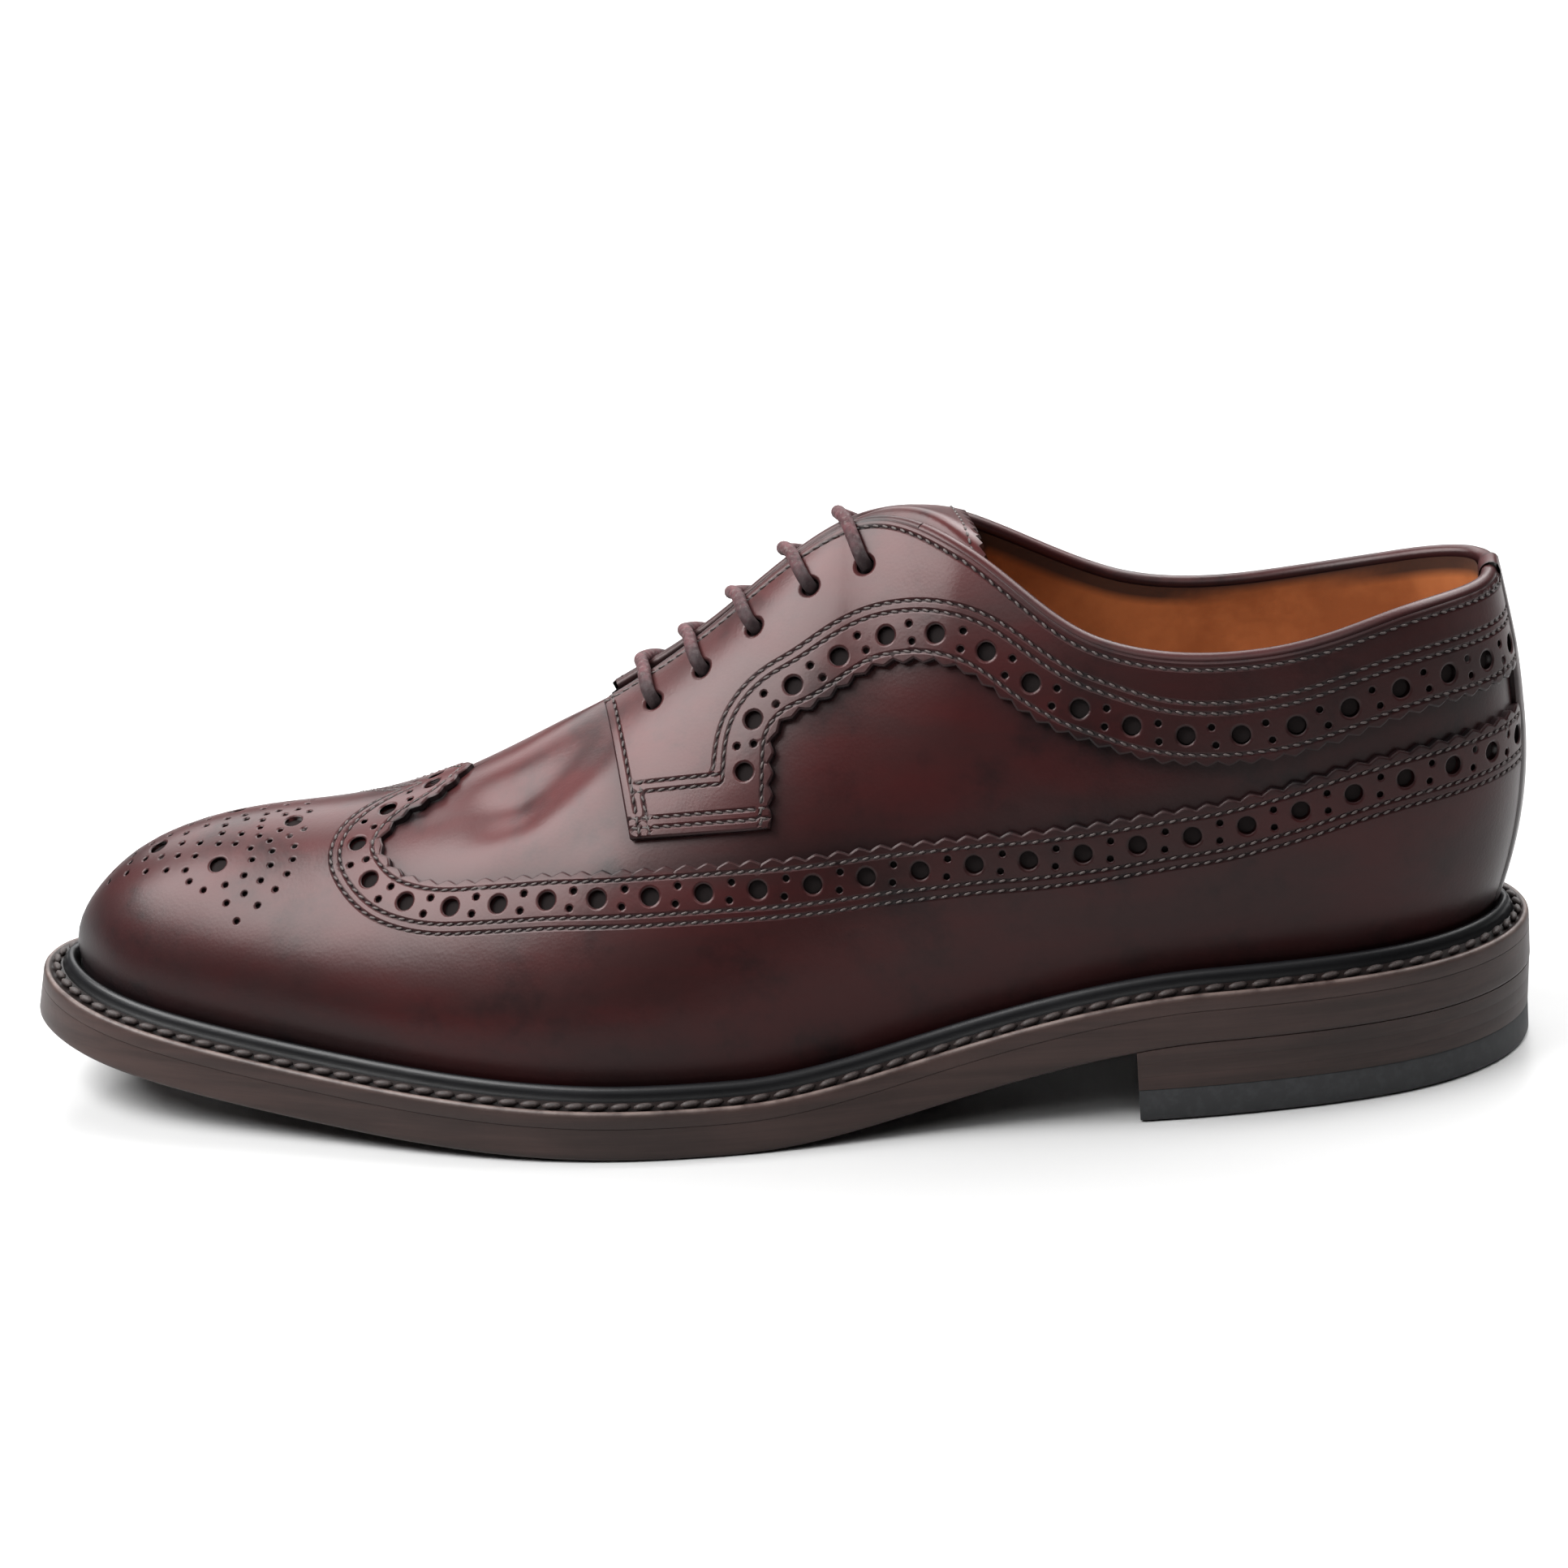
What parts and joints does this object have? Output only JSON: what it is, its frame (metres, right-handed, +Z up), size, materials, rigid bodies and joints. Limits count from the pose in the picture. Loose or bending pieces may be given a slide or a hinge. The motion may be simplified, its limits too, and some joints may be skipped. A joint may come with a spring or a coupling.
{
  "type": "brogue derby shoe",
  "caption": "Left long-wing brogue derby in polished leather: open-laced facings over a tongue, wing overlay, storm welt, leather sole and stacked heel.",
  "frame": {"origin": "middle of the footprint, on the ground", "axes": "+X from the toe to the heel, +Y from the lateral side to the medial side, +Z up"},
  "size_m": [0.312, 0.1156, 0.1182],
  "materials": {
    "upper_leather": "polished burgundy calf, burnished dark towards the edges",
    "sole_leather": "dark brown, waxed edge",
    "welt_leather": "black, satin",
    "heel_rubber": "matt black",
    "insole_leather": "tan, unpolished",
    "lace": "round waxed cotton"
  },
  "bodies": {
    "root": {"outsole": "sole_leather", "welt": "welt_leather", "heel_stack": "sole_leather", "heel_top_piece": "heel_rubber", "upper": "upper_leather", "wing": "upper_leather", "facing_lateral": "upper_leather", "facing_medial": "upper_leather", "back_strip": "upper_leather", "tongue": "upper_leather", "insole": "insole_leather", "lace_bar_1": "lace", "lace_bar_2": "lace", "lace_bar_3": "lace", "lace_bar_4": "lace", "lace_bar_5": "lace"}
  },
  "joints": []
}
